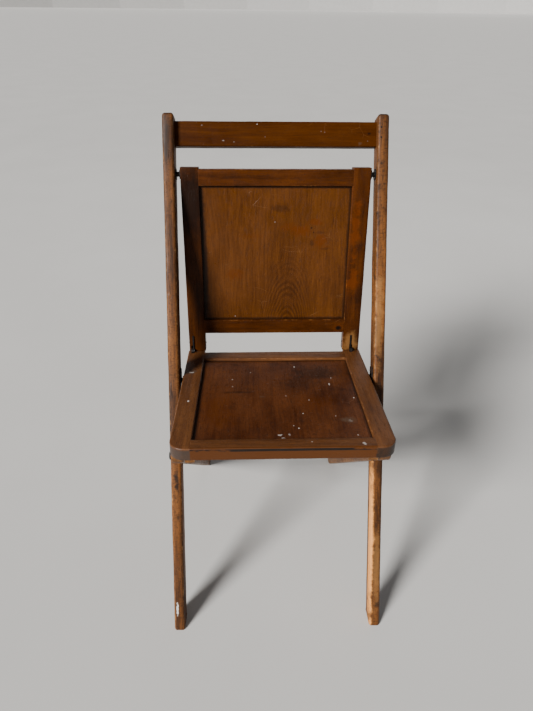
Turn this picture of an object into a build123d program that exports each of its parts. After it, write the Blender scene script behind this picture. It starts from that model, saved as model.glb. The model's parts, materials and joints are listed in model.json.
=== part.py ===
# Wooden folding chair: two long legs that run from the front feet to the top of the back, a framed
# back panel that swings between them, a framed seat hinged to the back panel, and a rear leg frame
# that crosses the long legs and carries the front of the seat.
#
# Millimetres. +Z is up and the chair faces -Y. Left (-X) and right (+X) are those of someone who
# stands in front of it. The origin is on the floor, at the middle of the chair's width and depth.

from build123d import *
from math import asin, cos, degrees, radians, sin, sqrt
import os

# Long legs
leg_width = 19.0            # across the chair
leg_depth = 32.0            # front to back, square to the leg
leg_length = 889.0
leg_lean = 27.0             # from upright, the top leaning back
leg_inner_x = 165.5         # inner face from the middle of the chair
leg_edge_r = 4.5
leg_top_r = 4.0
leg_outer_x = leg_inner_x + leg_width

# Crest rail, between the tops of the long legs
crest_height = 39.7
crest_thickness = 15.0
crest_setback = 12.0        # front face behind the front face of the long legs
crest_drop = 10.0           # top edge below the tops of the long legs
tenon_length = 11.0
tenon_thickness = 7.0

# Pivots, measured up the long legs from their feet
back_pivot_up = 795.5
groove_end_up = 451.8       # centre of the side pins when the chair stands open
groove_top_up = 652.0
cross_pivot_up = 318.8

# Seat and back hinge line, from the front edge of the front feet
hinge_y = 309.0
hinge_z = 397.0
hinge_clear = 1.8           # from the hinge line to the seat's top and to the back's front face

# Back panel
back_width = 316.0
back_thickness = 18.0
back_stile_width = 30.5
back_top_rail_height = 26.5
back_bottom_rail_height = 25.5
back_height = 323.0         # hinge line to the tops of the stiles
stile_end = -1.2            # lower ends of the stiles, from the hinge line, close above the seat
back_rail_drop = 3.0        # top rail below the tops of the stiles
back_gap = 34.0             # from the hinge line up to the bottom rail
back_pivot_behind = 8.0     # pivot behind the front face
back_recess = 5.5

# Seat
seat_width = 320.0
seat_depth = 298.0          # hinge line to the front edge
seat_thickness = 20.0
seat_slope = 6.5            # the front is higher
seat_side_width = 31.0
seat_front_width = 22.0
seat_rear_width = 28.0
seat_corner_r = 22.0
seat_recess = 4.5
seat_tail = 8.0             # side rails run this far behind the rear rail, under the back's stiles

# Plywood in the seat and the back
ply_thickness = 4.5
ply_tongue = 5.0            # depth held in the frame's groove

# Rear leg frame
rear_width = 19.0
rear_depth = 30.0
rear_inner_x = 144.5
rear_slope = 45.5           # from the floor
rear_foot_y = 410.0         # front edge of the rear feet
rear_reach = 142.0          # cross pivot to the top rod
rod_r = 8.0
rung_r = 7.0
rung_below = 235.0          # cross pivot down to the rung
rung_setback = 5.0          # rung behind the middle of the rear leg
dowel_shoulder = 2.0
dowel_deep = 10.0

# Iron fittings
pin_r = 4.0
pin_deep = 12.0
running_fit = 0.06
pressed_fit = 0.02
flange_r = 9.0
flange_thickness = 1.5
ferrule_r = 7.5
ferrule_thickness = 1.3
groove_half = 4.6
groove_deep = 7.0
side_gap = 0.4              # open end of the side pins, short of the seat
slot_plate_width = 18.0
slot_plate_low = 428.0
slot_plate_high = 472.0
bolt_r = 3.5
bolt_head_r = 8.0
bolt_head_height = 3.4
washer_r = 9.0
washer_thickness = 1.4
nut_across = 12.0
nut_thickness = 5.0
screw_head_r = 3.4
screw_head_height = 1.6
screw_r = 1.6
screw_long = 14.0
hinge_plate = 2.4
hinge_plate_gap = 0.3
knuckle_r = 5.0
rivet_r = 2.0
nail_r = 1.4
nail_proud = 1.0
hinge_x = {"left": -151.5, "right": 143.5}      # each kerf was sawn by hand, so they differ
side_of = {"left": -1, "right": 1}
pair = (-1, 1)

# Places worked out from the sizes above
leg_tangent = (sin(radians(leg_lean)), cos(radians(leg_lean)))
rear_foot_back = rear_foot_y + rear_depth / sin(radians(rear_slope))
y_mid = rear_foot_back / 2


def leg_point(up):
    """Y and Z of a point on the middle line of the long legs."""
    half = leg_depth / 2
    return (up * leg_tangent[0] + half * leg_tangent[1], up * leg_tangent[1] - half * leg_tangent[0])


back_pivot = leg_point(back_pivot_up)
cross_pivot = leg_point(cross_pivot_up)
pivot_span = sqrt((back_pivot[0] - hinge_y) ** 2 + (back_pivot[1] - hinge_z) ** 2)
back_lean = degrees(asin((back_pivot[0] - hinge_y) / pivot_span)) - degrees(
    asin((back_pivot_behind + hinge_clear) / pivot_span)
)
back_pivot_high = sqrt(pivot_span**2 - (back_pivot_behind + hinge_clear) ** 2)

# Frames: in each one +Z runs up the part and +Y is its depth
floor_frame = Pos(0, -y_mid, 0)
leg_frame = floor_frame * Rot(-leg_lean, 0, 0)
back_frame = floor_frame * Pos(0, hinge_y, hinge_z) * Rot(-back_lean, 0, 0)
seat_frame = floor_frame * Pos(0, hinge_y, hinge_z) * Rot(-seat_slope, 0, 0)
rear_frame = floor_frame * Pos(0, cross_pivot[0], cross_pivot[1]) * Rot(90 - rear_slope, 0, 0)

parts = {}


def block(x, y, z):
    """A box from three (low, high) pairs."""
    size = [high - low for low, high in (x, y, z)]
    middle = [(high + low) / 2 for low, high in (x, y, z)]
    return Pos(*middle) * Box(*size)


def span(side, near, far):
    """The (low, high) pair in X of what lies between two distances from the middle."""
    return tuple(sorted((side * near, side * far)))


def rod(radius, x, y=0.0, z=0.0):
    """A round bar along X between two places in X."""
    low, high = sorted(x)
    return Pos((low + high) / 2, y, z) * Rot(0, 90, 0) * Cylinder(radius, high - low)


def upright(radius, x, y, low, high):
    return Pos(x, y, (low + high) / 2) * Cylinder(radius, high - low)


def eased(shape, radius, axis):
    """Round the long edges that run along an axis."""
    return fillet(shape.edges().filter_by(axis), radius)


def screw(x, y, surface, head_up):
    """A countersunk screw along Z, its head flush with a surface."""
    way = 1 if head_up else -1
    head = Cone(screw_r, screw_head_r, screw_head_height)
    if not head_up:
        head = Rot(180, 0, 0) * head
    low, high = sorted((surface - way * screw_long, surface - way * screw_head_height))
    return Pos(x, y, surface - way * screw_head_height / 2) * head + upright(screw_r, x, y, low, high)


def add(name, shape):
    parts[name] = shape


def add_set(name, shapes):
    """Several alike solids in one node."""
    parts[name] = Compound([solid for shape in shapes for solid in shape.solids()])


# Long legs ------------------------------------------------------------------------------------

def groove(side):
    """The track for the side pins, round at its lower end."""
    x = span(side, leg_inner_x - 1, leg_inner_x + groove_deep)
    middle = leg_depth / 2
    track = block(x, (middle - groove_half, middle + groove_half), (groove_end_up, groove_top_up))
    return track + rod(groove_half, x, middle, groove_end_up) + rod(groove_half, x, middle, groove_top_up)


def crest_tenon(side):
    middle = crest_setback + crest_thickness / 2
    top = leg_length - crest_drop
    return block(
        span(side, leg_inner_x, leg_inner_x + tenon_length),
        (middle - tenon_thickness / 2, middle + tenon_thickness / 2),
        (top - crest_height + tenon_thickness, top - tenon_thickness),
    )


def crest_nails(side):
    """Two nails driven through the front of the leg and the tenon."""
    x = side * (leg_inner_x + tenon_length / 2)
    top = leg_length - crest_drop
    nail = Rot(90, 0, 0) * Cylinder(nail_r, leg_depth * 0.7)
    return [Pos(x, leg_depth * 0.35, top - share * crest_height) * nail for share in (0.3, 0.7)]


def slot_plate_screw(side):
    middle = leg_depth / 2
    low_end = (slot_plate_low + groove_end_up - groove_half) / 2
    turned = Rot(0, -side * 90, 0) * screw(0, 0, 0, True)
    return Pos(side * (leg_inner_x - flange_thickness), middle, low_end) * turned


def long_leg(side):
    body = block(span(side, leg_inner_x, leg_outer_x), (0, leg_depth), (0, leg_length))
    body = eased(body, leg_edge_r, Axis.Z)
    body = fillet(body.edges().group_by(Axis.Z)[-1], leg_top_r)
    middle = leg_depth / 2
    body -= groove(side)
    body -= crest_tenon(side)
    body -= rod(pin_r + pressed_fit, span(side, leg_inner_x - 1, leg_inner_x + pin_deep), middle, back_pivot_up)
    body -= rod(bolt_r + pressed_fit, span(side, leg_inner_x - 1, leg_outer_x + 1), middle, cross_pivot_up)
    body -= slot_plate_screw(side)
    for nail in crest_nails(side):
        body -= nail
    below_floor = block((-300, 300), (-100, 300), (-100, 0))
    return leg_frame * body - floor_frame * below_floor


for name, side in side_of.items():
    add(f"long_leg_{name}", long_leg(side))


def crest_rail():
    top = leg_length - crest_drop
    rail = block(
        (-leg_inner_x, leg_inner_x),
        (crest_setback, crest_setback + crest_thickness),
        (top - crest_height, top),
    )
    rail = eased(rail, 2.0, Axis.X)
    for side in (-1, 1):
        rail += crest_tenon(side)
        for nail in crest_nails(side):
            rail -= nail
    return leg_frame * rail


add("crest_rail", crest_rail())
add_set("crest_nails", [leg_frame * nail for side in pair for nail in crest_nails(side)])


# Fittings on the long legs --------------------------------------------------------------------

def back_pivot_pin(side):
    x = span(side, back_width / 2 - pin_deep, leg_inner_x + pin_deep)
    return leg_frame * rod(pin_r, x, leg_depth / 2, back_pivot_up)


def back_pivot_flange(side):
    x = span(side, leg_inner_x - flange_thickness, leg_inner_x)
    ring = rod(flange_r, x, leg_depth / 2, back_pivot_up)
    ring -= rod(pin_r + pressed_fit, span(side, leg_inner_x - 5, leg_inner_x + 5), leg_depth / 2, back_pivot_up)
    return leg_frame * ring


def slot_plate(side):
    """The iron plate round the lower end of the groove, which takes the load of the side pins."""
    middle = leg_depth / 2
    x = span(side, leg_inner_x - flange_thickness, leg_inner_x)
    half = slot_plate_width / 2
    plate = block(x, (middle - half, middle + half), (slot_plate_low, slot_plate_high))
    plate = fillet(plate.edges().filter_by(Axis.X), 3.0)
    plate -= block((-300, 300), (middle - groove_half, middle + groove_half), (groove_end_up, slot_plate_high + 1))
    plate -= rod(groove_half, (-300, 300), middle, groove_end_up)
    return leg_frame * (plate - slot_plate_screw(side))


def cross_bolt(side):
    """A round-headed bolt from the outside of the long leg through the rear leg."""
    middle = leg_depth / 2
    tip = rear_inner_x - 2 * washer_thickness - nut_thickness - 2.0
    bolt = rod(bolt_r, span(side, tip, leg_outer_x + 1), middle, cross_pivot_up)
    head = rod(bolt_head_r, span(side, leg_outer_x, leg_outer_x + bolt_head_height), middle, cross_pivot_up)
    head = fillet(head.edges().sort_by(Axis.X)[-1 if side > 0 else 0], bolt_head_height - 0.3)
    return leg_frame * (bolt + head)


def washer(side, near):
    x = span(side, near, near + washer_thickness)
    ring = rod(washer_r, x, leg_depth / 2, cross_pivot_up)
    ring -= rod(bolt_r + pressed_fit, span(side, near - 1, near + 5), leg_depth / 2, cross_pivot_up)
    return leg_frame * ring


def nut(side):
    near = rear_inner_x - 2 * washer_thickness - nut_thickness
    hexagon = extrude(RegularPolygon(nut_across / 2, 6, major_radius=False), nut_thickness / 2, both=True)
    hexagon = Rot(0, 90, 0) * hexagon
    hexagon -= rod(bolt_r + pressed_fit, (-10, 10))
    return leg_frame * Pos(side * (near + nut_thickness / 2), leg_depth / 2, cross_pivot_up) * hexagon


leg_gap = leg_inner_x - rear_inner_x - rear_width
add_set("back_pivot_pins", [back_pivot_pin(side) for side in pair])
add_set("back_pivot_flanges", [back_pivot_flange(side) for side in pair])
for name, side in side_of.items():
    add(f"slot_plate_{name}", slot_plate(side))
add_set("slot_plate_screws", [leg_frame * slot_plate_screw(side) for side in pair])
add_set("cross_bolts", [cross_bolt(side) for side in pair])
add_set("cross_bolt_spacers", [washer(side, leg_inner_x - (leg_gap + washer_thickness) / 2) for side in pair])
add_set("cross_bolt_washers", [washer(side, rear_inner_x - washer_thickness * 1.5) for side in pair])
add_set("cross_bolt_nuts", [nut(side) for side in pair])


# Side pins, which slide up the grooves as the seat folds ---------------------------------------

def side_pin(side):
    x = span(side, seat_width / 2 + ferrule_thickness + side_gap, leg_inner_x + groove_deep - 0.5)
    return leg_frame * rod(pin_r, x, leg_depth / 2, groove_end_up)


add_set("side_pins", [side_pin(side) for side in pair])


# Back panel -----------------------------------------------------------------------------------

back_front = hinge_clear
back_rear = hinge_clear + back_thickness
back_inner_x = back_width / 2 - back_stile_width
back_ply_y = (back_front + back_recess, back_front + back_recess + ply_thickness)
back_rail_top = back_height - back_rail_drop


def back_plywood():
    return block(
        (-back_inner_x - ply_tongue, back_inner_x + ply_tongue),
        back_ply_y,
        (back_gap + back_bottom_rail_height - ply_tongue, back_rail_top - back_top_rail_height + ply_tongue),
    )


def back_rail(low, high):
    """A rail between the stiles, with a tenon at each end."""
    rail = block((-back_inner_x, back_inner_x), (back_front, back_rear), (low, high))
    rail = eased(rail, 1.0, Axis.X)
    middle = back_rear - tenon_thickness / 2 - 3.0
    half = tenon_thickness / 2 - 1.0
    reach = back_inner_x + tenon_length
    rail += block((-reach, reach), (middle - half, middle + half), (low + 5, high - 5))
    return rail - back_plywood()


def back_rails():
    low_rail = back_rail(back_gap, back_gap + back_bottom_rail_height)
    return back_rail(back_rail_top - back_top_rail_height, back_rail_top), low_rail


def hinge_lanes(side):
    """Places in X of the back's plate and the seat's plate, side by side in one kerf."""
    middle = hinge_x["left" if side < 0 else "right"]
    step = (hinge_plate + hinge_plate_gap) / 2
    return middle - side * step, middle + side * step


def lane(middle, clear=0.0):
    half = hinge_plate / 2 + clear
    return middle - half, middle + half


def back_kerf(side):
    """The saw kerf for the hinge plate, wider at the bottom for both knuckles."""
    back_lane, seat_lane = hinge_lanes(side)
    narrow = block(lane(back_lane), (back_front - 5, 15.0), (stile_end - 1, 29.0))
    low, high = sorted((back_lane, seat_lane))
    slot_x = (low - hinge_plate / 2, high + hinge_plate / 2 + 0.4)
    wide = block(slot_x, (back_front - 5, knuckle_r + 1.2), (stile_end - 1, 10.0))
    return narrow + wide


def back_hinge_pin(side):
    x = span(side, back_inner_x - nail_proud, back_width / 2 + nail_proud)
    return rod(nail_r, x, 10.5, 13.0)


def back_stile(side):
    stile = block(span(side, back_inner_x, back_width / 2), (back_front, back_rear), (stile_end, back_height))
    stile = eased(stile, 1.6, Axis.Z)
    stile -= rod(pin_r + running_fit, span(side, back_width / 2 - pin_deep - 1, back_width), *back_pivot_place())
    stile -= back_kerf(side)
    stile -= back_hinge_pin(side)
    for rail in back_rails():
        stile -= rail
    return stile - back_plywood()


def back_pivot_place():
    return back_front + back_pivot_behind, back_pivot_high


def back_ferrule(side):
    x = span(side, back_width / 2, back_width / 2 + ferrule_thickness)
    ring = rod(ferrule_r, x, *back_pivot_place())
    ring -= rod(pin_r + running_fit, span(side, back_width / 2 - 1, back_width / 2 + 5), *back_pivot_place())
    return back_frame * ring


def back_hinge_plate(side):
    x = lane(hinge_lanes(side)[0])
    plate = rod(knuckle_r, x) + block(x, (0, 15.0), (0.2, 29.0))
    plate -= rod(rivet_r + pressed_fit, (-300, 300))
    return back_frame * (plate - back_hinge_pin(side))


def hinge_rivet(side):
    """The pivot of the hinge, through both knuckles."""
    lanes = sorted(hinge_lanes(side))
    return back_frame * rod(rivet_r, (lanes[0] - hinge_plate / 2, lanes[1] + hinge_plate / 2))


back_top_rail, back_bottom_rail = back_rails()
for name, side in side_of.items():
    add(f"back_stile_{name}", back_frame * back_stile(side))
add("back_top_rail", back_frame * back_top_rail)
add("back_bottom_rail", back_frame * back_bottom_rail)
add("back_plywood", back_frame * back_plywood())
add_set("back_ferrules", [back_ferrule(side) for side in pair])
for name, side in side_of.items():
    add(f"back_hinge_plate_{name}", back_hinge_plate(side))
add_set("back_hinge_pins", [back_frame * back_hinge_pin(side) for side in pair])
add_set("hinge_rivets", [hinge_rivet(side) for side in pair])


# Seat -----------------------------------------------------------------------------------------

seat_top = -hinge_clear
seat_bottom = seat_top - seat_thickness
seat_rear = -hinge_clear
seat_inner_x = seat_width / 2 - seat_side_width
seat_kerf_top = seat_top - 2.0
side_pin_forward = 88.85       # hinge line to the side pins, along the seat


def seat_plywood():
    return block(
        (-seat_inner_x - ply_tongue, seat_inner_x + ply_tongue),
        (-seat_depth + seat_front_width - ply_tongue, seat_rear - seat_rear_width + ply_tongue),
        (seat_top - seat_recess - ply_thickness, seat_top - seat_recess),
    )


def seat_rail(front, rear):
    rail = block((-seat_inner_x, seat_inner_x), (front, rear), (seat_bottom, seat_top))
    rail = eased(rail, 1.4, Axis.X)
    reach = seat_inner_x + tenon_length
    low = seat_bottom + 3.0
    rail += block((-reach, reach), (front + 4, rear - 4), (low, low + tenon_thickness))
    for side in pair:
        rail -= seat_hinge_pin(side)
    return rail - seat_plywood()


def seat_rails():
    return seat_rail(-seat_depth, -seat_depth + seat_front_width), seat_rail(seat_rear - seat_rear_width, seat_rear)


def seat_kerf(side):
    """The kerf for the hinge plate, sawn from below, and the notch in the top for both knuckles."""
    back_lane, seat_lane = hinge_lanes(side)
    narrow = block(lane(seat_lane), (-30.0, seat_tail), (seat_bottom - 1, seat_kerf_top))
    low, high = sorted((back_lane, seat_lane))
    notch = knuckle_r + 1.2
    wide = block((low - hinge_plate / 2 - 0.4, high + hinge_plate / 2 + 0.4), (-notch, notch), (-notch, 1))
    return narrow + wide


def seat_hinge_pin(side):
    x = span(side, seat_inner_x - nail_proud, seat_width / 2 + nail_proud)
    return rod(nail_r, x, -10.5, -15.0)


def side_pin_place():
    return -side_pin_forward, seat_top - seat_thickness / 2


def seat_side(side):
    """A side rail, round at its front corner and cut back behind to clear the rear leg when folded."""
    rail = block(
        span(side, seat_inner_x, seat_width / 2), (-seat_depth, seat_rear + seat_tail), (seat_bottom, seat_top)
    )
    corners = rail.edges().filter_by(Axis.Z).sort_by(Axis.Y)[:2]
    outer = corners.sort_by(Axis.X)[0 if side < 0 else -1]
    rail = fillet(outer, seat_corner_r)
    rail = fillet(rail.edges().group_by(Axis.Z)[-1], 1.6)
    rail = fillet(rail.edges().group_by(Axis.Z)[0], 1.2)
    rail -= rod(pin_r + 0.3, span(side, seat_width / 2 - 8, seat_width / 2 + 1), *side_pin_place())
    rail -= Pos(0, seat_rear + seat_tail, seat_bottom) * Rot(45, 0, 0) * block((-300, 300), (-5, 5), (-5, 5))
    rail -= seat_kerf(side)
    rail -= seat_hinge_pin(side)
    for screw_y in cleat_screw_places():
        rail -= cleat_screw(side, screw_y)
    for cross_rail in seat_rails():
        rail -= cross_rail
    return rail - seat_plywood()


def seat_ferrule(side):
    x = span(side, seat_width / 2, seat_width / 2 + ferrule_thickness)
    ring = rod(ferrule_r, x, *side_pin_place())
    ring -= rod(pin_r + 0.3, span(side, seat_width / 2 - 1, seat_width / 2 + 5), *side_pin_place())
    return seat_frame * ring


def seat_hinge_plate(side):
    x = lane(hinge_lanes(side)[1])
    plate = rod(knuckle_r, x) + block(x, (-30.0, 0), (seat_bottom + 4.0, seat_kerf_top))
    plate -= rod(rivet_r + running_fit, (-300, 300))
    return seat_frame * (plate - seat_hinge_pin(side))


# Hook cleats under the seat, which sit over the top rod of the rear legs
cleat_near_x = 128.5
cleat_far_x = 142.5
cleat_front = 18.0          # reach in front of and behind the rod
cleat_rear = 26.0
cleat_height = 33.0
rod_clear = 0.6
cleat_screw_long = 8.5


def top_rod_place():
    """The top rod's Y and Z in the seat's frame."""
    up = radians(rear_slope)
    dy = cross_pivot[0] - rear_reach * cos(up) - hinge_y
    dz = cross_pivot[1] + rear_reach * sin(up) - hinge_z
    tilt = radians(seat_slope)
    return dy * cos(tilt) - dz * sin(tilt), dy * sin(tilt) + dz * cos(tilt)


def cleat_screw_places():
    rod_y = top_rod_place()[0]
    return rod_y - 12.5, rod_y + 20.5


def cleat_screw(side, y):
    """A screw up through the cleat into the side rail."""
    x = side * (cleat_near_x + cleat_far_x) / 2
    long = cleat_height + cleat_screw_long
    head = Pos(x, y, seat_bottom - cleat_height + screw_head_height / 2)
    return head * Cone(screw_head_r, screw_r, screw_head_height) + upright(
        screw_r, x, y, seat_bottom - cleat_height + screw_head_height, seat_bottom - cleat_height + long
    )


def cleat(side):
    rod_y, rod_z = top_rod_place()
    x = span(side, cleat_near_x, cleat_far_x)
    body = block(x, (rod_y - cleat_front, rod_y + cleat_rear), (seat_bottom - cleat_height, seat_bottom))
    body = fillet(body.edges().filter_by(Axis.X).group_by(Axis.Z)[0], 5.0)
    notch_r = rod_r + rod_clear
    body -= rod(notch_r, (-200, 200), rod_y, rod_z)
    way_out = Pos(0, rod_y, rod_z) * Rot(42, 0, 0) * block((-200, 200), (-notch_r, notch_r), (-60, 0))
    body -= way_out
    for screw_y in cleat_screw_places():
        body -= cleat_screw(side, screw_y)
    return seat_frame * body


seat_front_rail, seat_rear_rail = seat_rails()
for name, side in side_of.items():
    add(f"seat_side_rail_{name}", seat_frame * seat_side(side))
add("seat_front_rail", seat_frame * seat_front_rail)
add("seat_rear_rail", seat_frame * seat_rear_rail)
add("seat_plywood", seat_frame * seat_plywood())
add_set("seat_ferrules", [seat_ferrule(side) for side in pair])
for name, side in side_of.items():
    add(f"seat_hinge_plate_{name}", seat_hinge_plate(side))
add_set("seat_hinge_pins", [seat_frame * seat_hinge_pin(side) for side in pair])
for name, side in side_of.items():
    add(f"seat_cleat_{name}", cleat(side))
add_set("seat_cleat_screws", [seat_frame * cleat_screw(side, y) for side in pair for y in cleat_screw_places()])


# Rear leg frame -------------------------------------------------------------------------------

rear_floor = -(cross_pivot[1] / sin(radians(rear_slope)))


def dowel(radius, y, z):
    """A round rail with a thinner tenon at each end."""
    rail = rod(radius, (-rear_inner_x, rear_inner_x), y, z)
    reach = rear_inner_x + dowel_deep
    return rail + rod(radius - dowel_shoulder, (-reach, reach), y, z)


def rear_leg(side):
    x = span(side, rear_inner_x, rear_inner_x + rear_width)
    half = rear_depth / 2
    leg = block(x, (-half, half), (rear_floor - rear_depth, rear_reach))
    leg = eased(leg, leg_edge_r, Axis.Z)
    leg += fillet(rod(half, x, 0, rear_reach).edges(), 3.0)
    leg -= rod(bolt_r + running_fit, (-300, 300))
    leg -= dowel(rod_r, 0, rear_reach)
    leg -= dowel(rung_r, rung_setback, -rung_below)
    below_floor = block((-300, 300), (-100, 600), (-100, 0))
    return rear_frame * leg - floor_frame * below_floor


for name, side in side_of.items():
    add(f"rear_leg_{name}", rear_leg(side))
add("rear_top_rod", rear_frame * dowel(rod_r, 0, rear_reach))
add("rear_rung", rear_frame * dowel(rung_r, rung_setback, -rung_below))


def main():
    os.makedirs("parts", exist_ok=True)
    for name, shape in parts.items():
        export_step(shape, f"parts/{name}.step")
    print("back lean", round(back_lean, 3), "middle y", round(y_mid, 3))
    print("back pivot", back_pivot, "cross pivot", cross_pivot, "side pin", leg_point(groove_end_up))


main()
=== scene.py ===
import json
from math import atan2, degrees, pi, radians

import bpy
from mathutils import Matrix, Vector


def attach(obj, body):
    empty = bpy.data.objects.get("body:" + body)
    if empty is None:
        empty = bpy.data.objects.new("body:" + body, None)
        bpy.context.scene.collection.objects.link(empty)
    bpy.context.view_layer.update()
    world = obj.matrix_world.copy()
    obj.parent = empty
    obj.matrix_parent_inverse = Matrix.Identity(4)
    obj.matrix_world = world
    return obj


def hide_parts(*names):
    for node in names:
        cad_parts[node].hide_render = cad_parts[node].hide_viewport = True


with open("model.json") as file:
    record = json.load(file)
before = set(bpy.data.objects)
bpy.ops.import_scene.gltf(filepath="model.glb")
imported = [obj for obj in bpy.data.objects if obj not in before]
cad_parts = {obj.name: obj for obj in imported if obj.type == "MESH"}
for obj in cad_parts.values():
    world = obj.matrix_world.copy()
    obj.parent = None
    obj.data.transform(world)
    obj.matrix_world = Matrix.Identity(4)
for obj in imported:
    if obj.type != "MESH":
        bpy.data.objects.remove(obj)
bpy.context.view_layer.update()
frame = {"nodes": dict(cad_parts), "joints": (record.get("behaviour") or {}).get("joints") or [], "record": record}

nodes = frame["nodes"]
joints = {joint["name"]: joint for joint in frame["joints"]}
sides = {"left": -1, "right": 1}
hair = 1e-5  # closer than this is the same place

# how far each panel leans from upright, in degrees; the legs' lean is that of their grooves
slideAxis = joints["pin_slide"]["axis"]
tilts = {
    "legs": degrees(atan2(slideAxis[1], slideAxis[2])),
    "back": 10.5,
    "seat": 6.5,
    "rear": -44.5,
}


hingeCuts = {  # clearances round the hinge plates, and how far the cuts run out of the wood
    "kerf": 0.00015, "side": 0.0004, "knuckle": 0.0062, "above": 0.0100, "out": 0.005, "under": 0.0019,
}


def localBox(names, tilt):
    turn = Matrix.Rotation(radians(tilt), 4, "X")  # stands the leaning part upright
    points = [turn @ v.co for name in names for v in nodes[name].data.vertices]
    low = Vector([min(p[i] for p in points) for i in range(3)])
    high = Vector([max(p[i] for p in points) for i in range(3)])
    return low, high


def jointPlace(name, tilt):
    return Matrix.Rotation(radians(tilt), 4, "X") @ Vector(joints[name]["pos_m"])


def onlySelect(piece):
    bpy.ops.object.select_all(action="DESELECT")
    piece.select_set(True)
    bpy.context.view_layer.objects.active = piece


def pick(piece, kind, test):
    onlySelect(piece)
    bpy.ops.object.mode_set(mode="EDIT")
    bpy.ops.mesh.select_mode(type=kind)
    bpy.ops.mesh.select_all(action="DESELECT")
    bpy.ops.object.mode_set(mode="OBJECT")
    mesh = piece.data
    for item in {"VERT": mesh.vertices, "EDGE": mesh.edges, "FACE": mesh.polygons}[kind]:
        item.select = test(item)
    bpy.ops.object.mode_set(mode="EDIT")


def edgeEnds(piece, edge):
    return [piece.data.vertices[i].co for i in edge.vertices]


def edgeLies(piece, edge, axis, place):
    return all(abs(end[axis] - place) < hair for end in edgeEnds(piece, edge))


def runsAlong(piece, axis):
    def test(edge):
        a, b = edgeEnds(piece, edge)
        run = (b - a).normalized()
        return abs(run[axis]) > 0.99
    return test


def addBlock(name, low, high):
    bpy.ops.object.select_all(action="DESELECT")
    bpy.ops.mesh.primitive_cube_add(size=1, location=(low + high) / 2)
    piece = bpy.context.object
    piece.name = name
    piece.data.name = name
    piece.scale = high - low
    bpy.ops.object.transform_apply(location=True, rotation=False, scale=True)
    return piece


def bevelPicked(width, segments):
    bpy.ops.mesh.bevel(offset=width, segments=segments, profile=0.5, affect="EDGES")
    bpy.ops.object.mode_set(mode="OBJECT")


def ringsAlong(piece, axis, cuts):
    pick(piece, "EDGE", runsAlong(piece, axis))
    bpy.ops.mesh.subdivide(number_cuts=cuts)
    bpy.ops.object.mode_set(mode="OBJECT")


def applyAll(piece):
    onlySelect(piece)
    for modifier in list(piece.modifiers):
        bpy.ops.object.modifier_apply(modifier=modifier.name)


def unevenness(piece, name, size, depth, levels=0):
    if levels:
        finer = piece.modifiers.new("finer", "SUBSURF")
        finer.subdivision_type = "SIMPLE"
        finer.levels = levels
        finer.render_levels = levels
    clouds = bpy.data.textures.new(name, "CLOUDS")
    clouds.noise_scale = size
    clouds.noise_depth = 3
    push = piece.modifiers.new("uneven", "DISPLACE")
    push.texture = clouds
    push.texture_coords = "GLOBAL"
    push.strength = depth
    push.mid_level = 0.5
    applyAll(piece)


def cutAway(piece, cutter):
    cut = piece.modifiers.new("cut", "BOOLEAN")
    cut.operation = "DIFFERENCE"
    cut.solver = "EXACT"
    cut.object = cutter
    applyAll(piece)
    bpy.data.objects.remove(cutter)


def addRod(name, centre, radius, length, sideCount):
    bpy.ops.object.select_all(action="DESELECT")
    bpy.ops.mesh.primitive_cylinder_add(
        vertices=sideCount, radius=radius, depth=length, location=centre, rotation=(0, pi / 2, 0))
    piece = bpy.context.object
    piece.name = name
    piece.data.name = name
    bpy.ops.object.transform_apply(location=True, rotation=True, scale=True)
    return piece


def leanBack(piece, tilt):
    onlySelect(piece)
    piece.rotation_euler.x = -radians(tilt)
    bpy.ops.object.transform_apply(location=False, rotation=True, scale=False)


def finishPiece(piece, body, stands, smooth=32):
    onlySelect(piece)
    bpy.ops.object.shade_smooth_by_angle(angle=radians(smooth))
    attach(piece, body)
    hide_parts(*stands)


class Wire:
    def __init__(self, board, socket):
        self.board = board
        self.socket = socket

    def __add__(self, other):
        return self.board.maths("ADD", self, other)

    def __radd__(self, other):
        return self.board.maths("ADD", other, self)

    def __sub__(self, other):
        return self.board.maths("SUBTRACT", self, other)

    def __rsub__(self, other):
        return self.board.maths("SUBTRACT", other, self)

    def __mul__(self, other):
        return self.board.maths("MULTIPLY", self, other)

    def __rmul__(self, other):
        return self.board.maths("MULTIPLY", other, self)


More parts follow.
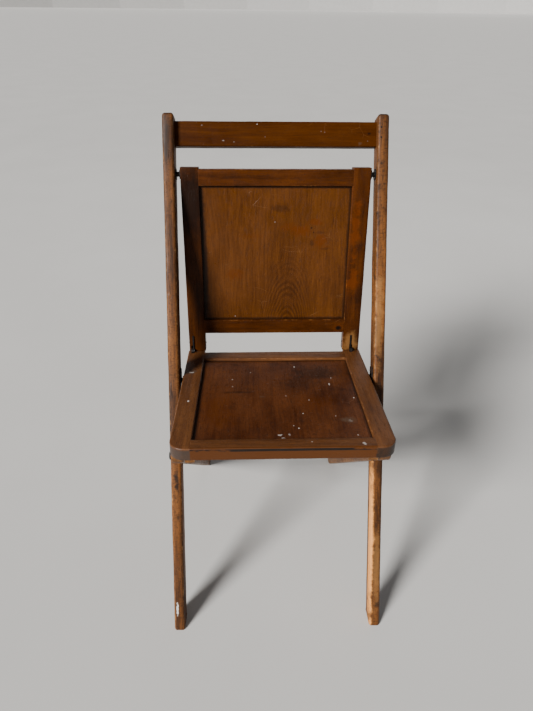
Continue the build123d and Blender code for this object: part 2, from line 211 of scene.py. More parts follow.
class Board:
    def __init__(self, name):
        self.material = bpy.data.materials.new(name)
        self.material.use_nodes = True
        self.tree = self.material.node_tree
        self.tree.nodes.clear()

    def node(self, kind, settings, inputs, out=0):
        made = self.tree.nodes.new("ShaderNode" + kind)
        for key, value in settings.items():
            setattr(made, key, value)
        for key, value in inputs.items():
            if isinstance(value, Wire):
                self.tree.links.new(value.socket, made.inputs[key])
            else:
                made.inputs[key].default_value = value
        return Wire(self, made.outputs[out]) if made.outputs else None

    def maths(self, operation, a, b=0.0):
        return self.node("Math", {"operation": operation}, {0: a, 1: b})

    def clamp(self, value):
        return self.node("Clamp", {}, {"Value": value})

    def lowest(self, a, b):
        return self.maths("MINIMUM", a, b)

    def highest(self, a, b):
        return self.maths("MAXIMUM", a, b)

    def step(self, value, start, end):
        return self.node("MapRange", {"interpolation_type": "SMOOTHSTEP"},
                         {"Value": value, "From Min": start, "From Max": end})

    def vector(self, operation, a, b):
        return self.node("VectorMath", {"operation": operation}, {0: a, 1: b})

    def mix(self, share, a, b, blend="MIX"):
        return self.node("Mix", {"data_type": "RGBA", "blend_type": blend},
                         {0: share, 6: a, 7: b}, 2)

    def noise(self, place, scale, detail=3.0, rough=0.5, out=0):
        return self.node("TexNoise", {}, {
            "Vector": place, "Scale": scale, "Detail": detail, "Roughness": rough}, out)

    def cracks(self, place, scale):
        return self.node("TexVoronoi", {"feature": "DISTANCE_TO_EDGE"}, {"Vector": place, "Scale": scale})

    def split(self, place):
        made = self.tree.nodes.new("ShaderNodeSeparateXYZ")
        self.tree.links.new(place.socket, made.inputs[0])
        return [Wire(self, made.outputs[i]) for i in range(3)]

    def place(self, tilt, centre):
        coords = self.node("TexCoord", {}, {}, "Object")
        return self.node("Mapping", {"vector_type": "POINT"}, {
            "Vector": coords, "Rotation": (radians(tilt), 0, 0), "Location": -centre})

    def finish(self, values):
        shader = self.node("BsdfPrincipled", {}, values)
        self.node("OutputMaterial", {}, {"Surface": shader})
        return self.material


def rgb(colour):
    return (*colour, 1.0)


# dark and light are the two ends of the stained colour; bare is where the finish has gone
woods = {
    "legs": {
        "dark": (0.020, 0.006, 0.0014), "light": (0.196, 0.069, 0.0135), "bare": (0.46, 0.23, 0.085),
        "band": 95.0, "bands": 0.42, "stain": 0.80, "fleck": 0.90, "mottle": 1.30, "wear": 0.65,
        "edge": 0.0028,
        "rough": 0.56, "coat": 0.0, "shine": 0.24, "sway": 0.020, "grain": 1.20,
    },
    "crest": {
        "dark": (0.027, 0.006, 0.0004), "light": (0.066, 0.018, 0.0006), "bare": (0.28, 0.11, 0.03),
        "band": 170.0, "bands": 0.40, "stain": 0.40, "fleck": 0.35, "mottle": 0.25, "wear": 0.15,
        "edge": 0.0008,
        "rough": 0.42, "coat": 0.0, "shine": 0.07, "sway": 0.020, "grain": 0.50,
    },
    "backFrame": {
        "dark": (0.018, 0.0045, 0.0006), "light": (0.076, 0.020, 0.0020), "bare": (0.30, 0.12, 0.03),
        "band": 120.0, "bands": 0.36, "stain": 0.85, "fleck": 0.40, "mottle": 0.55, "wear": 0.25,
        "edge": 0.0009,
        "rough": 0.38, "coat": 0.02, "shine": 0.12, "sway": 0.020, "grain": 0.70,
    },
    "backPly": {
        "dark": (0.038, 0.0105, 0.0006), "light": (0.108, 0.034, 0.0050), "bare": (0.30, 0.15, 0.05),
        "band": 320.0, "bands": 0.30, "stain": 0.50, "fleck": 0.40, "mottle": 0.35, "wear": 0.0,
        "edge": 0.001,
        "rough": 0.36, "coat": 0.02, "shine": 0.18, "sway": 0.050, "grain": 0.80,
    },
    "seatFrame": {
        "dark": (0.044, 0.014, 0.004), "light": (0.135, 0.050, 0.014), "bare": (0.34, 0.16, 0.06),
        "band": 120.0, "bands": 0.38, "stain": 0.60, "fleck": 0.50, "mottle": 0.60, "wear": 0.34,
        "edge": 0.0010,
        "rough": 0.46, "coat": 0.03, "shine": 0.28, "sway": 0.020, "grain": 0.80,
    },
    "seatPly": {
        "dark": (0.030, 0.0080, 0.0030), "light": (0.116, 0.035, 0.009), "bare": (0.30, 0.13, 0.05),
        "band": 240.0, "bands": 0.22, "stain": 0.85, "fleck": 0.50, "mottle": 0.95, "wear": 0.0,
        "edge": 0.001,
        "rough": 0.40, "coat": 0.04, "shine": 0.22, "sway": 0.030, "grain": 0.70,
    },
    "rear": {
        "dark": (0.040, 0.013, 0.003), "light": (0.210, 0.085, 0.020), "bare": (0.46, 0.26, 0.11),
        "band": 95.0, "bands": 0.45, "stain": 0.60, "fleck": 0.60, "mottle": 0.80, "wear": 0.45,
        "edge": 0.0018,
        "rough": 0.48, "coat": 0.03, "shine": 0.28, "sway": 0.020, "grain": 0.80,
    },
}
# near-black dirt, also used for painted shade and painted shadow
dirtAndShade = (0.006, 0.003, 0.002)
paint = (0.72, 0.70, 0.66)
amber = (0.082, 0.019, 0.0006)
greyed = (0.070, 0.040, 0.024)
amberDeep = (0.112, 0.023, 0.0006)
palePatch = (0.44, 0.22, 0.07)
# bare wood, brightened as painted light
bareWoodAndLight = (0.80, 0.33, 0.080)
stretchAlong = {"x": (1, 0, 0), "y": (0, 1, 0), "z": (0, 0, 1)}

# marks on one member: centre and half size in mm from the member's middle, colour, strength, raggedness
marks = {
    "seat_plywood": [
        ((-76, 55, 2), (1.4, 2.0), paint, 0.68, 0.5), ((-75, 31, 2), (1.3, 1.7), paint, 0.64, 0.5),
        ((33, 98, 2), (2.0, 2.4), paint, 0.72, 0.5), ((35, -53, 2), (1.4, 1.9), paint, 0.72, 0.5),
        ((121, -8, 2), (1.5, 2.0), paint, 0.68, 0.5), ((87, 36, 2), (1.7, 5.1), paint, 0.42, 0.9),
        ((93, 57, 2), (1.2, 1.9), paint, 0.59, 0.5), ((48, -14, 2), (1.9, 2.2), paint, 0.51, 0.6),
        ((12, -1, 2), (1.4, 1.7), paint, 0.51, 0.6), ((25, -92, 2), (1.9, 1.9), paint, 0.51, 0.6),
        ((18, -85, 2), (1.1, 1.7), paint, 0.51, 0.6), ((-45, 79, 2), (1.3, 1.7), paint, 0.51, 0.6),
        ((-3, -109, 2), (4.8, 2.6), paint, 0.42, 1.9), ((0, -116, 2), (4.2, 1.8), paint, 0.36, 1.9),
        ((10, -108, 2), (2.4, 3.2), paint, 0.36, 1.6),
        ((101, -72, 2), (10.0, 8.0), greyed, 0.80, 1.2), ((104, -74, 2), (4.2, 3.4), paint, 0.10, 1.6),
        ((-27, -3, 2), (5.0, 2.0), greyed, 0.70, 0.9), ((84, -61, 2), (1.2, 1.5), paint, 0.42, 0.6),
        ((109, -111, 2), (1.1, 1.7), paint, 0.51, 0.6), ((-67, 12, 2), (26.0, 3.0), dirtAndShade, 0.55, 1.2),
        ((72, 76, 2), (40.0, 26.0), dirtAndShade, 0.55, 1.1), ((40, 40, 2), (30.0, 22.0), dirtAndShade, 0.35, 1.3),
        ((-96, -40, 2), (30.0, 55.0), amber, 0.35, 1.2), ((60, -20, 2), (36.0, 26.0), amber, 0.30, 1.2),
    ],
    "seat_front_rail": [
        ((113, -4, 10), (3.4, 4.6), paint, 0.35, 1.1), ((40, 2, 10), (1.4, 1.6), paint, 0.5, 0.5),
    ],
    "seat_side_rail_left": [
        ((1, -28, 10), (2.0, 3.6), paint, 0.55, 0.6), ((-2, 68, 10), (9.0, 7.0), greyed, 0.85, 1.2),
        ((-2, 66, 10), (6.0, 2.6), paint, 0.35, 1.3),
    ],
    "back_plywood": [
        # painted shadow: a dark strip along the left edge, where the left stile shades the plywood
        ((-124, -2, -10), (6.0, 130.0), dirtAndShade, 0.80, 0.5),
        ((44, -2, 42), (20.0, 9.0), amber, 0.85, 1.3), ((68, -2, 58), (13.0, 5.0), amber, 0.85, 1.3),
        ((80, -2, 25), (12.0, 16.0), amber, 0.90, 1.2), ((78, -2, 40), (10.0, 3.0), dirtAndShade, 0.30, 1.4),
        ((86, -2, 12), (8.0, 2.5), dirtAndShade, 0.30, 1.4), ((22, -2, 50), (15.0, 8.0), amber, 0.50, 1.2),
        ((-71, -2, -34), (16.0, 9.0), amber, 0.60, 1.3), ((-40, -2, 34), (24.0, 4.0), amber, 0.30, 1.2),
        ((8, -2, 82), (13.0, 8.0), dirtAndShade, 0.38, 1.3), ((-72, -2, -111), (1.4, 1.4), paint, 0.25, 0.7),
        ((62, -2, 48), (1.8, 1.6), dirtAndShade, 0.85, 0.5), ((66, -2, 40), (1.2, 1.4), dirtAndShade, 0.80, 0.5),
        ((64, -2, 22), (4.0, 6.0), dirtAndShade, 0.40, 1.2), ((-1, -2, 58), (1.0, 1.4), paint, 0.18, 0.7),
    ],
    "back_bottom_rail": [
        ((117, -9, -4), (9.5, 7.5), amber, 0.70, 0.5), ((118, -9, -4), (6.0, 4.8), dirtAndShade, 1.00, 0.25),
    ],
    # painted shadow: the long leg's shadow darkens the upper part of the left stile
    "back_stile_left": [((0, -9, 105), (40.0, 60.0), dirtAndShade, 0.85, 0.5)],
    "back_stile_right": [
        ((2, -9, 30), (14.0, 9.0), dirtAndShade, 0.45, 1.6), ((-4, -9, -30), (9.0, 24.0), amberDeep, 0.55, 1.9),
        ((8, -9, -60), (9.0, 22.0), dirtAndShade, 0.50, 1.5), ((-2, -9, -146), (13.0, 20.0), palePatch, 0.28, 1.0),
        ((-5, -9, 60), (7.0, 46.0), amberDeep, 0.55, 1.9),
    ],
    "crest_rail": [
        ((-31, -8, 15), (2.2, 1.4), paint, 0.40, 1.2), ((-121, -8, 13), (1.8, 1.4), paint, 0.10, 1.0),
        ((74, -8, 4), (1.6, 1.3), paint, 0.10, 0.9), ((80, -8, 3), (1.5, 1.3), paint, 0.10, 0.9),
        ((-87, -8, -11), (2.2, 1.4), paint, 0.16, 1.3), ((-69, -8, -13), (1.4, 1.2), paint, 0.14, 0.8),
        ((-18, -8, -5), (1.1, 1.1), paint, 0.08, 0.6), ((154, -8, 1), (3.0, 2.0), dirtAndShade, 0.80, 0.6),
        ((151, -8, -11), (1.3, 1.1), paint, 0.12, 0.6), ((139, -8, -15), (4.0, 2.6), greyed, 0.5, 1.2),
    ],
    "long_leg_left": [
        ((0, -16, -162), (4.5, 12.0), dirtAndShade, 0.85, 1.3), ((1, -16, -178), (3.6, 8.0), dirtAndShade, 0.85, 1.4),
        ((2, -16, -232), (3.0, 6.0), dirtAndShade, 0.65, 1.3), ((-3, -16, -402), (2.6, 17.0), paint, 0.80, 0.7),
        ((2, -16, 405), (8.0, 34.0), dirtAndShade, 0.45, 1.6),
    ],
    "long_leg_right": [
        # the first entry is bare wood along the inner edge, partly painted light where the window falls on that
        # side
        ((-11, -8, -285), (6.4, 165.0), bareWoodAndLight, 0.88, 1.0), ((4, -16, -402), (4.2, 6.0), dirtAndShade, 0.80, 0.8),
        ((3, -16, -150), (5.0, 30.0), dirtAndShade, 0.60, 1.5),
        ((2, -16, -330), (8.0, 70.0), palePatch, 0.22, 1.2), ((-6, -16, 49), (2.4, 1.5), dirtAndShade, 0.75, 0.4),
        ((-3, -16, 46), (2.4, 1.5), dirtAndShade, 0.80, 0.4), ((0, -16, 42.5), (2.4, 1.5), dirtAndShade, 0.80, 0.4),
        ((3, -16, 39), (2.4, 1.5), dirtAndShade, 0.75, 0.4), ((-3, -16, 366), (2.0, 3.0), dirtAndShade, 0.80, 0.6),
        ((2, -16, 200), (3.0, 22.0), dirtAndShade, 0.35, 1.6), ((-2, -16, 110), (7.0, 75.0), palePatch, 0.24, 1.5),
    ],
}
flat = {"back_plywood": 1, "seat_plywood": 2, "seat_front_rail": 2, "seat_side_rail_left": 2}


def addMarks(b, node, p, q, colour):
    ragged = b.noise(q, 260.0, 3.0, 0.65) - 0.5
    blotch = b.noise(q, 75.0, 5.0, 0.72) - 0.5
    face = flat.get(node, 1)
    for centre, half, tone, strength, rough in marks.get(node, []):
        sizes = [half[0], half[1]]
        size = [0.0 if i == face else 1000.0 / sizes.pop(0) for i in range(3)]
        offset = b.vector("SUBTRACT", p, [c / 1000.0 for c in centre])
        away = b.node("VectorMath", {"operation": "LENGTH"}, {0: b.vector("MULTIPLY", offset, size)}, 1)
        crisp = tone is paint
        if crisp:
            near = b.step(away + ragged * rough * 2.0, 0.85, 0.50)
        else:
            near = b.step(away + (blotch if max(half) > 6 else ragged) * rough * 2.2, 1.35, 0.40)
        depth = b.split(offset)[face]
        near = near * b.step(b.maths("ABSOLUTE", depth), 0.012, 0.008) * strength
        colour = b.mix(near, colour, rgb(tone))
    return colour


def arches(b, q, p):
    x, y, z = b.split(p)
    wobble = (b.noise(q, 24.0, 2.0, 0.5) - 0.5) * 0.020
    side = x - 0.022
    rise = z + 0.150 + wobble
    hill = b.maths("SQRT", side * side * 2.6 + rise * rise * 0.30)
    line = b.maths("PINGPONG", hill * 330.0 + b.noise(q, 70.0, 3.0, 0.6) * 0.9, 1.0)
    here = b.step(hill, 0.100, 0.050) * b.step(b.noise(q, 30.0, 2.0), 0.30, 0.55)
    return b.step(line, 0.15, 0.85), here


def woodFinish(node, look, tilt, low, high, grain):
    b = Board(node + "Wood")
    half = (high - low) / 2
    p = b.place(tilt, (low + high) / 2)
    seed = Vector([(low[i] + high[i]) * 7.3 for i in range(3)])  # a different part of the tree for each piece
    q = b.vector("ADD", p, seed)

    def along(share, place=q):
        scales = [share if stretchAlong[grain][i] else 1.0 for i in range(3)]
        return b.vector("MULTIPLY", place, scales)

    wander = b.noise(along(0.25), 11.0, 2.0, 0.5, 1)
    sway = b.vector("MULTIPLY", b.vector("SUBTRACT", wander, (0.5, 0.5, 0.5)), [look["sway"]] * 3)
    bent = b.vector("ADD", q, sway)
    growth = b.noise(along(0.045, bent), look["band"], 4.0, 0.65)
    fibre = b.noise(along(0.020, bent), 1400.0, 2.0, 0.6)
    pores = b.step(b.noise(along(0.10, bent), 700.0, 2.0, 0.5), 0.58, 0.72)
    cross = b.step(b.noise(along(2.6, bent), 210.0, 4.0, 0.72), 0.50, 0.66)
    stain = b.noise(along(0.5), 15.0, 5.0, 0.65)
    patch = b.noise(q, 38.0, 6.0, 0.70)

    tone = 0.5 + (growth - 0.5) * look["bands"] * 4.2 + (stain - 0.5) * look["stain"] * 2.4
    tone = tone + (fibre - 0.5) * look["grain"]
    colour = b.mix(b.clamp(tone), rgb(look["dark"]), rgb(look["light"]))
    if look is woods["backPly"]:
        lines, here = arches(b, q, p)
        colour = b.mix(lines * here * 0.60, colour, rgb([c * 0.75 for c in look["dark"]]))
    colour = b.mix(pores * look["fleck"] * 0.75, colour, rgb([c * 0.30 for c in look["dark"]]))
    colour = b.mix(cross * look["mottle"] * 0.55, colour, rgb([c * 0.60 for c in look["dark"]]))
    colour = b.mix(b.step(patch, 0.58, 0.76) * look["mottle"] * 0.70, colour, rgb(dirtAndShade))

    x, y, z = b.split(p)
    gaps = [h - b.maths("ABSOLUTE", c) for c, h in zip((x, y, z), half)]
    edge = b.highest(b.lowest(gaps[0], gaps[1]), b.lowest(b.highest(gaps[0], gaps[1]), gaps[2]))
    chips = b.noise(q, 75.0, 5.0, 0.75)
    worn = b.step(edge + (chips - 0.46) * 0.012, look["edge"], -0.0006) * look["wear"]
    colour = b.mix(worn, colour, rgb(look["bare"]))
    if node.startswith("seat_side"):  # sawn ends soak up dirt
        ends = b.step(y, -half.y + 0.026, -half.y + 0.019) * b.step(z, half.z - 0.0012, half.z - 0.0040)
        grey = (0.006, 0.005, 0.004) if node.endswith("right") else (0.034, 0.025, 0.020)
        colour = b.mix(ends * (0.75 + (patch - 0.5) * 0.8), colour, rgb(grey))
    if node == "seat_front_rail":  # a deeper tone on the front face, and a broken dark line under the top edge
        front = b.step(y, -half.y + 0.0035, -half.y + 0.0020)
        line = b.step(b.maths("ABSOLUTE", z - (half.z - 0.0034)), 0.0026, 0.0014) * front
        colour = b.mix(front * 0.95, colour, rgb((0.066, 0.018, 0.0006)))
        colour = b.mix(line * b.step(b.noise(along(0.25), 70.0, 4.0, 0.7), 0.40, 0.48), colour, rgb(dirtAndShade))
    if node.startswith("long_leg"):  # darker towards the top, in part painted shade; the end grain at the very top is nearly black
        colour = b.mix(b.step(z, 0.16, 0.34) * 0.24, colour, rgb(dirtAndShade))
        colour = b.mix(b.step(z, half.z - 0.0042, half.z - 0.0008) * 0.85, colour, rgb(dirtAndShade))
    if node.endswith("plywood"):  # painted shade: darker in the recess along the frame
        level = [gap for gap, h in zip(gaps, half) if h > 0.01]
        colour = b.mix(b.step(b.lowest(level[0], level[1]) + (chips - 0.5) * 0.004, 0.0105, 0.0060) * 0.75,
                       colour, rgb(dirtAndShade))
    colour = addMarks(b, node, p, q, colour)

    scratch = b.step(b.cracks(along(1.7, bent), 22.0), 0.010, 0.002)
    scratch = scratch * b.step(b.noise(q, 19.0, 2.0), 0.60, 0.68)
    colour = b.mix(scratch * 0.16, colour, rgb(look["bare"]))

    dents = b.step(b.noise(q, 85.0, 2.0, 0.4), 0.68, 0.80)
    height = growth * 0.45 + fibre * 0.35 - pores * 0.7 - dents * 1.3 - scratch * 0.8 - worn * 0.4
    bump = b.node("Bump", {}, {"Strength": 0.38, "Distance": 0.0006, "Height": height})
    rough = b.clamp(look["rough"] + (patch - 0.5) * 0.45 + worn * 0.20 + pores * 0.15 + (stain - 0.5) * 0.30)
    return b.finish({
        "Base Color": colour, "Roughness": rough, "Normal": bump, "Coat Weight": look["coat"],
        "Coat Roughness": 0.22, "IOR": 1.48, "Specular IOR Level": look["shine"],
    })


def ironFinish(name, rust):
    b = Board(name)
    coords = b.node("TexCoord", {}, {}, "Object")
    cloud = b.noise(coords, 160.0, 5.0, 0.65)
    speck = b.step(b.noise(coords, 900.0, 3.0, 0.6), 0.55, 0.75)
    rusty = b.step(cloud, 0.52, 0.72) * rust
    colour = b.mix(rusty, (0.020, 0.019, 0.019, 1), (0.115, 0.045, 0.018, 1))
    colour = b.mix(speck * 0.35, colour, (0.09, 0.085, 0.08, 1))
    bump = b.node("Bump", {}, {"Strength": 0.5, "Distance": 0.0003, "Height": cloud + speck * 0.4})
    return b.finish({
        "Base Color": colour, "Metallic": b.clamp(0.85 - rusty * 1.2), "Normal": bump,
        "Roughness": b.clamp(0.38 + cloud * 0.25 + rusty * 0.3),
    })


def dress(piece, material):
    piece.data.materials.clear()
    piece.data.materials.append(material)


iron = ironFinish("blackIron", 0.35)
for part in frame["record"]["subparts"]:
    if part["material_slot"] == "iron":
        dress(nodes[part["node"]], iron)
print("finishes ready")


def woodOf(node, look, tilt, grain):
    low, high = localBox([node], tilt)
    return woodFinish(node, woods[look], tilt, low, high, grain)


def endLoops(piece, axis, places):
    return lambda edge: any(edgeLies(piece, edge, axis, place) for place in places)


def bar(name, low, high, axis, shape):
    piece = addBlock(name, low, high)
    pick(piece, "EDGE", runsAlong(piece, axis))
    bevelPicked(shape["edge"], 4)
    ringsAlong(piece, axis, shape["rings"])
    pick(piece, "EDGE", endLoops(piece, axis, [low[axis], high[axis]]))
    bevelPicked(shape["end"], 4)
    return piece


def weather(piece, shape):
    swellSize, knockSize = 0.060, 0.014
    unevenness(piece, piece.name + "Swell", swellSize, shape["swell"], shape["finer"])
    unevenness(piece, piece.name + "Knocks", knockSize, shape["knocks"])


def standOnFloor(piece, easing):
    onlySelect(piece)
    bpy.ops.object.mode_set(mode="EDIT")
    bpy.ops.mesh.select_all(action="SELECT")
    bpy.ops.mesh.bisect(plane_co=(0, 0, 0), plane_no=(0, 0, 1), use_fill=True, clear_inner=True)
    bpy.ops.object.mode_set(mode="OBJECT")
    pick(piece, "EDGE", endLoops(piece, 2, [0.0]))
    bevelPicked(easing, 2)


def drill(piece, centre, radius, length):
    cutAway(piece, addRod("drill", centre, radius, length, 32))


longLegs = {
    "edge": 0.0048, "end": 0.0050, "rings": 88, "finer": 1, "swell": 0.0009, "knocks": 0.0004,
    "foot": 0.0010, "grooveHalf": 0.0046, "grooveDeep": 0.0070, "grooveLong": 0.2002,
}


def longLeg(side):
    name = "long_leg_" + side
    low, high = localBox([name], tilts["legs"])
    piece = bar("legWood" + side.title(), low, high, 2, longLegs)
    weather(piece, longLegs)
    inner = low.x if side == "right" else high.x
    way = sides[side]
    pinLow, pinHigh = localBox(["side_pins"], tilts["legs"])
    middle = (pinLow + pinHigh) / 2
    half = longLegs["grooveHalf"]
    reach = sorted([inner - way * 0.002, inner + way * longLegs["grooveDeep"]])
    track = addBlock("track", Vector((reach[0], middle.y - half, middle.z - half)),
                     Vector((reach[1], middle.y + half, middle.z + longLegs["grooveLong"] + half)))
    pick(track, "EDGE", runsAlong(track, 0))
    bevelPicked(half * 0.98, 6)
    cutAway(piece, track)
    leanBack(piece, tilts["legs"])
    standOnFloor(piece, longLegs["foot"])
    dress(piece, woodOf(name, "legs", tilts["legs"], "z"))
    finishPiece(piece, "front_frame", [name])


crestShape = {
    "edge": 0.0022, "end": 0.0003, "rings": 50, "finer": 2, "swell": 0.0006, "knocks": 0.0003, "into": 0.0012,
}


def crestRail():
    low, high = localBox(["crest_rail"], tilts["legs"])
    legLow, legHigh = localBox(["long_leg_right"], tilts["legs"])
    reach = legLow.x + crestShape["into"]
    low.x, high.x = -reach, reach
    piece = bar("crestWood", low, high, 0, crestShape)
    weather(piece, crestShape)
    leanBack(piece, tilts["legs"])
    dress(piece, woodOf("crest_rail", "crest", tilts["legs"], "x"))
    finishPiece(piece, "front_frame", ["crest_rail"])


for side in sides:
    longLeg(side)
crestRail()
print("long legs and crest rail ready")

backShape = {
    "edge": 0.0018, "end": 0.0012, "rings": 34, "finer": 2, "swell": 0.0005, "knocks": 0.00025,
    "railEdge": 0.0011, "into": 0.0012, "pinHole": 0.0041, "pinHoleDeep": 0.026,
}


def railBetween(node, name, look, tilt, body, shape):
    low, high = localBox([node], tilt)
    stile = "back_stile_right" if body == "back_panel" else "seat_side_rail_right"
    inner = localBox([stile], tilt)[0].x + shape["into"]
    low.x, high.x = -inner, inner
    piece = bar(name, low, high, 0, dict(shape, edge=shape["railEdge"], end=0.0003))
    weather(piece, shape)
    leanBack(piece, tilt)
    dress(piece, woodOf(node, look, tilt, "x"))
    finishPiece(piece, body, [node])


def backStile(side):
    name = "back_stile_" + side
    tilt = tilts["back"]
    low, high = localBox([name], tilt)
    piece = bar("backStile" + side.title(), low, high, 2, backShape)
    weather(piece, backShape)
    plateLow, plateHigh = localBox(["back_hinge_plate_" + side], tilt)
    cut = hingeCuts
    cutAway(piece, addBlock(
        "kerf", Vector((plateLow.x - cut["kerf"], low.y - cut["out"], low.z - cut["out"])),
        plateHigh + Vector((cut["kerf"], 0.0001, 0.0001))))
    pairLow, pairHigh = localBox(["back_hinge_plate_" + side, "seat_hinge_plate_" + side], tilt)
    axle = jointPlace("seat_fold", tilt)
    cutAway(piece, addBlock(
        "notch", Vector((pairLow.x - cut["side"], low.y - cut["out"], low.z - cut["out"])),
        Vector((pairHigh.x + cut["side"], axle.y + cut["knuckle"], axle.z + cut["above"]))))
    pivot = jointPlace("back_swing", tilt)
    outer = high.x if side == "right" else low.x
    drill(piece, Vector((outer, pivot.y, pivot.z)), backShape["pinHole"], backShape["pinHoleDeep"])
    leanBack(piece, tilt)
    dress(piece, woodOf(name, "backFrame", tilt, "z"))
    finishPiece(piece, "back_panel", [name])


plyShape = {"rings": 30, "warpSize": 0.090, "warp": 0.0011, "rippleSize": 0.016, "ripple": 0.00018}


def sheetOfPly(node, name, look, tilt, thin, grain, body):
    low, high = localBox([node], tilt)
    piece = addBlock(name, low, high)
    for axis in [i for i in range(3) if i != thin]:
        ringsAlong(piece, axis, plyShape["rings"])
    unevenness(piece, name + "Warp", plyShape["warpSize"], plyShape["warp"], 1)
    unevenness(piece, name + "Ripple", plyShape["rippleSize"], plyShape["ripple"])
    leanBack(piece, tilt)
    dress(piece, woodOf(node, look, tilt, grain))
    finishPiece(piece, body, [node])


for side in sides:
    backStile(side)
for node, name in (("back_top_rail", "backTopRail"), ("back_bottom_rail", "backBottomRail")):
    railBetween(node, name, "backFrame", tilts["back"], "back_panel", backShape)
sheetOfPly("back_plywood", "backPly", "backPly", tilts["back"], 1, "z", "back_panel")
print("back panel ready")

seatShape = {
    "edge": 0.0020, "end": 0.0020, "rings": 34, "finer": 2, "swell": 0.0006, "knocks": 0.0003,
    "lowEdge": 0.0014, "railEdge": 0.0016, "into": 0.0012, "corner": 0.022, "tail": 0.0071,
}


def seatSide(side):
    name = "seat_side_rail_" + side
    tilt = tilts["seat"]
    low, high = localBox([name], tilt)
    piece = addBlock("seatSide" + side.title(), low, high)
    outer = high.x if side == "right" else low.x

    def frontCorner(edge):
        a, b = edgeEnds(piece, edge)
        upright = abs(a.z - b.z) > 0.01
        return upright and edgeLies(piece, edge, 0, outer) and edgeLies(piece, edge, 1, low.y)

    pick(piece, "EDGE", frontCorner)
    bevelPicked(seatShape["corner"], 12)
    pick(piece, "EDGE", lambda edge: (
        runsAlong(piece, 0)(edge) and edgeLies(piece, edge, 1, high.y) and edgeLies(piece, edge, 2, low.z)))
    bevelPicked(seatShape["tail"], 2)
    ringsAlong(piece, 1, seatShape["rings"])
    for level, width, segments in ((low.z, seatShape["lowEdge"], 3), (high.z, seatShape["edge"], 4)):
        pick(piece, "EDGE", lambda edge: (
            edgeLies(piece, edge, 2, level) and not crossesTop(piece, edge, low, high)))
        bevelPicked(width, segments)
    weather(piece, seatShape)
    plateLow, plateHigh = localBox(["seat_hinge_plate_" + side], tilt)
    cut = hingeCuts
    cutAway(piece, addBlock(
        "kerf", Vector((plateLow.x - cut["kerf"], plateLow.y - 0.0001, low.z - cut["out"])),
        Vector((plateHigh.x + cut["kerf"], high.y + cut["out"], high.z - cut["under"]))))
    pairLow, pairHigh = localBox(["back_hinge_plate_" + side, "seat_hinge_plate_" + side], tilt)
    axle = jointPlace("seat_fold", tilt)
    knuckle = cut["knuckle"]
    cutAway(piece, addBlock(
        "notch", Vector((pairLow.x - cut["side"], axle.y - knuckle, axle.z - knuckle)),
        Vector((pairHigh.x + cut["side"], axle.y + knuckle, high.z + cut["out"]))))
    leanBack(piece, tilt)
    dress(piece, woodOf(name, "seatFrame", tilt, "y"))
    finishPiece(piece, "seat_panel", [name])


def crossesTop(piece, edge, low, high):
    a, b = edgeEnds(piece, edge)

    def onRim(v):
        return any(abs(v[i] - end[i]) < hair for i in (0, 1) for end in (low, high))

    across = abs(a.y - b.y) < 1e-6 and low.y + hair < a.y < high.y - hair
    return across and onRim(a) and onRim(b)


for side in sides:
    seatSide(side)
for node, name in (("seat_front_rail", "seatFrontRail"), ("seat_rear_rail", "seatRearRail")):
    railBetween(node, name, "seatFrame", tilts["seat"], "seat_panel", seatShape)
sheetOfPly("seat_plywood", "seatPly", "seatPly", tilts["seat"], 2, "y", "seat_panel")
print("seat ready")

rearShape = {
    "edge": 0.0045, "end": 0.0012, "rings": 60, "finer": 1, "swell": 0.0009, "knocks": 0.0004,
    "foot": 0.0010, "round": 0.0146, "boltHole": 0.0036, "boltHoleDeep": 0.04,
}


def rearLeg(side):
    name = "rear_leg_" + side
    tilt = tilts["rear"]
    low, high = localBox([name], tilt)
    piece = addBlock("rearLeg" + side.title(), low, high)
    pick(piece, "EDGE", lambda edge: runsAlong(piece, 0)(edge) and edgeEnds(piece, edge)[0].z > high.z - hair)
    bevelPicked(rearShape["round"], 9)
    ringsAlong(piece, 2, rearShape["rings"])

    def longRim(edge):
        a, b = edgeEnds(piece, edge)
        flat = abs(a.x - b.x) < hair and (abs(a.x - low.x) < hair or abs(a.x - high.x) < hair)

        def outline(v):
            onEdge = abs(v.y - low.y) < hair or abs(v.y - high.y) < hair
            return onEdge or v.z > high.z - rearShape["round"] * 1.02

        level = abs(a.z - b.z) < 1e-6 and abs(a.y - b.y) > 0.02
        return flat and outline(a) and outline(b) and not level

    pick(piece, "EDGE", longRim)
    bevelPicked(rearShape["edge"] * 0.8, 4)
    weather(piece, rearShape)
    bolt = jointPlace("rear_leg_fold", tilt)
    middle = Vector(((low.x + high.x) / 2, bolt.y, bolt.z))
    drill(piece, middle, rearShape["boltHole"], rearShape["boltHoleDeep"])
    leanBack(piece, tilt)
    standOnFloor(piece, rearShape["foot"])
    dress(piece, woodOf(name, "rear", tilt, "z"))
    finishPiece(piece, "rear_frame", [name])


dowelShape = {"into": 0.001, "sides": 28, "rings": 60, "swellSize": 0.045, "swell": 0.0007, "smooth": 50}


def dowelRail(node, name):
    tilt = tilts["rear"]
    low, high = localBox([node], tilt)
    inner = localBox(["rear_leg_right"], tilt)[0].x + dowelShape["into"]
    piece = addRod(name, (low + high) / 2, (high.y - low.y) / 2, inner * 2, dowelShape["sides"])
    ringsAlong(piece, 0, dowelShape["rings"])
    unevenness(piece, name + "Swell", dowelShape["swellSize"], dowelShape["swell"])
    leanBack(piece, tilt)
    dress(piece, woodOf(node, "rear", tilt, "x"))
    finishPiece(piece, "rear_frame", [node], dowelShape["smooth"])


for side in sides:
    rearLeg(side)
dowelRail("rear_top_rod", "rearTopRod")
dowelRail("rear_rung", "rearRung")
for side in sides:
    dress(nodes["seat_cleat_" + side], woodOf("seat_cleat_" + side, "rear", tilts["seat"], "y"))
print("rear frame ready")


camera = {"place": (-0.0466, -0.7546, 0.9395), "down": 33.47, "turn": -2.19, "roll": 0.73, "lens": 27.04}


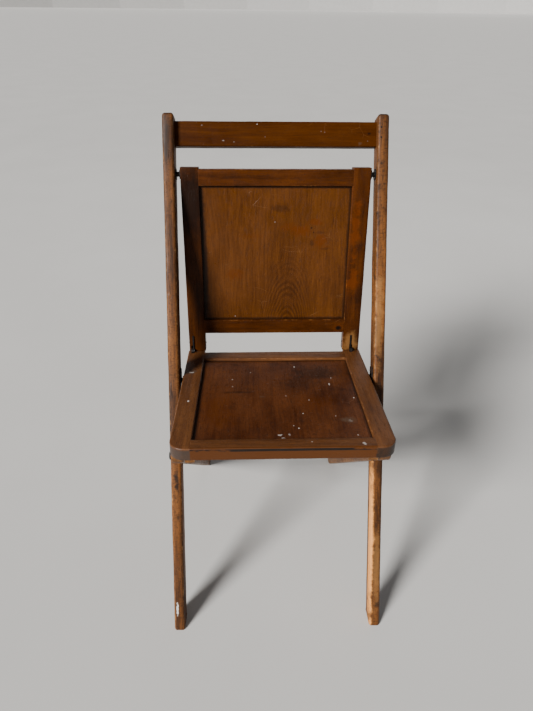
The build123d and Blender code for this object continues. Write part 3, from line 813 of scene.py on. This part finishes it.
def addCamera():
    bpy.ops.object.camera_add()
    cam = bpy.context.object
    cam.data.lens = camera["lens"]
    cam.data.clip_start = 0.01
    cam.matrix_world = (
        Matrix.Translation(camera["place"])
        @ Matrix.Rotation(radians(camera["turn"]), 4, "Z")
        @ Matrix.Rotation(radians(90 - camera["down"]), 4, "X")
        @ Matrix.Rotation(radians(camera["roll"]), 4, "Z")
    )
    bpy.context.scene.camera = cam


lamps = {
    "fill": {"place": (1.8, -1.6, 1.5), "wide": 2.0, "tall": 2.0, "power": 2.0, "colour": (0.96, 0.98, 1.0)},
    "back": {"place": (0.4, 2.2, 2.2), "wide": 2.0, "tall": 2.0, "power": 8.0, "colour": (1.0, 1.0, 1.0)},
}
window = {"leftward": 48.0, "height": 31.0, "strength": 7.6, "spread": 19.0, "colour": (1.0, 0.985, 0.96)}


def addLamp(name, spec):
    bpy.ops.object.light_add(type="AREA", location=spec["place"])
    lamp = bpy.context.object
    lamp.name = name
    lamp.data.energy = spec["power"]
    lamp.data.shape = "RECTANGLE"
    lamp.data.size = spec["wide"]
    lamp.data.size_y = spec["tall"]
    lamp.data.color = spec["colour"]
    aim = Vector((0, 0, 0.4)) - Vector(spec["place"])  # at seat height
    lamp.rotation_euler = aim.to_track_quat("-Z", "Y").to_euler()


def addWindowLight():
    bpy.ops.object.light_add(type="SUN", location=(-2, -2, 2))
    lamp = bpy.context.object
    lamp.name = "window"
    lamp.data.energy = window["strength"]
    lamp.data.angle = radians(window["spread"])
    lamp.data.color = window["colour"]
    lamp.rotation_euler = (radians(90 - window["height"]), 0, -radians(window["leftward"]))


ground = {
    "size": 200, "riseRadius": 95, "riseHeight": 30, "riseMiddle": 5, "riseShade": 0.72,
    "dark": (0.50, 0.49, 0.475), "light": (0.56, 0.55, 0.535),
}
sky = {"colour": (0.95, 0.97, 1.0, 1), "strength": 0.12}


def paleGround(name, share):
    b = Board(name)
    coords = b.node("TexCoord", {}, {}, "Object")
    dark, light = [rgb([c * share for c in ground[end]]) for end in ("dark", "light")]
    colour = b.mix(b.noise(coords, 2.5, 3.0), dark, light)
    return b.finish({"Base Color": colour, "Roughness": 0.75})


def addFloor():
    bpy.ops.object.select_all(action="DESELECT")
    bpy.ops.mesh.primitive_plane_add(size=ground["size"], location=(0, 0, 0))
    floor = bpy.context.object
    floor.name = "floor"
    dress(floor, paleGround("paleFloor", 1.0))
    bpy.ops.object.select_all(action="DESELECT")
    bpy.ops.mesh.primitive_cylinder_add(
        vertices=64, radius=ground["riseRadius"], depth=ground["riseHeight"], end_fill_type="NOTHING",
        location=(0, 0, ground["riseMiddle"]))
    rise = bpy.context.object  # far off, so the floor has no dark horizon
    rise.name = "floorRise"
    dress(rise, paleGround("paleRise", ground["riseShade"]))


addCamera()
for name, spec in lamps.items():
    addLamp(name, spec)
addWindowLight()
addFloor()
world = bpy.data.worlds.new("studio")
world.use_nodes = True
world.node_tree.nodes["Background"].inputs[0].default_value = sky["colour"]
world.node_tree.nodes["Background"].inputs[1].default_value = sky["strength"]
bpy.context.scene.world = world
print("studio ready")
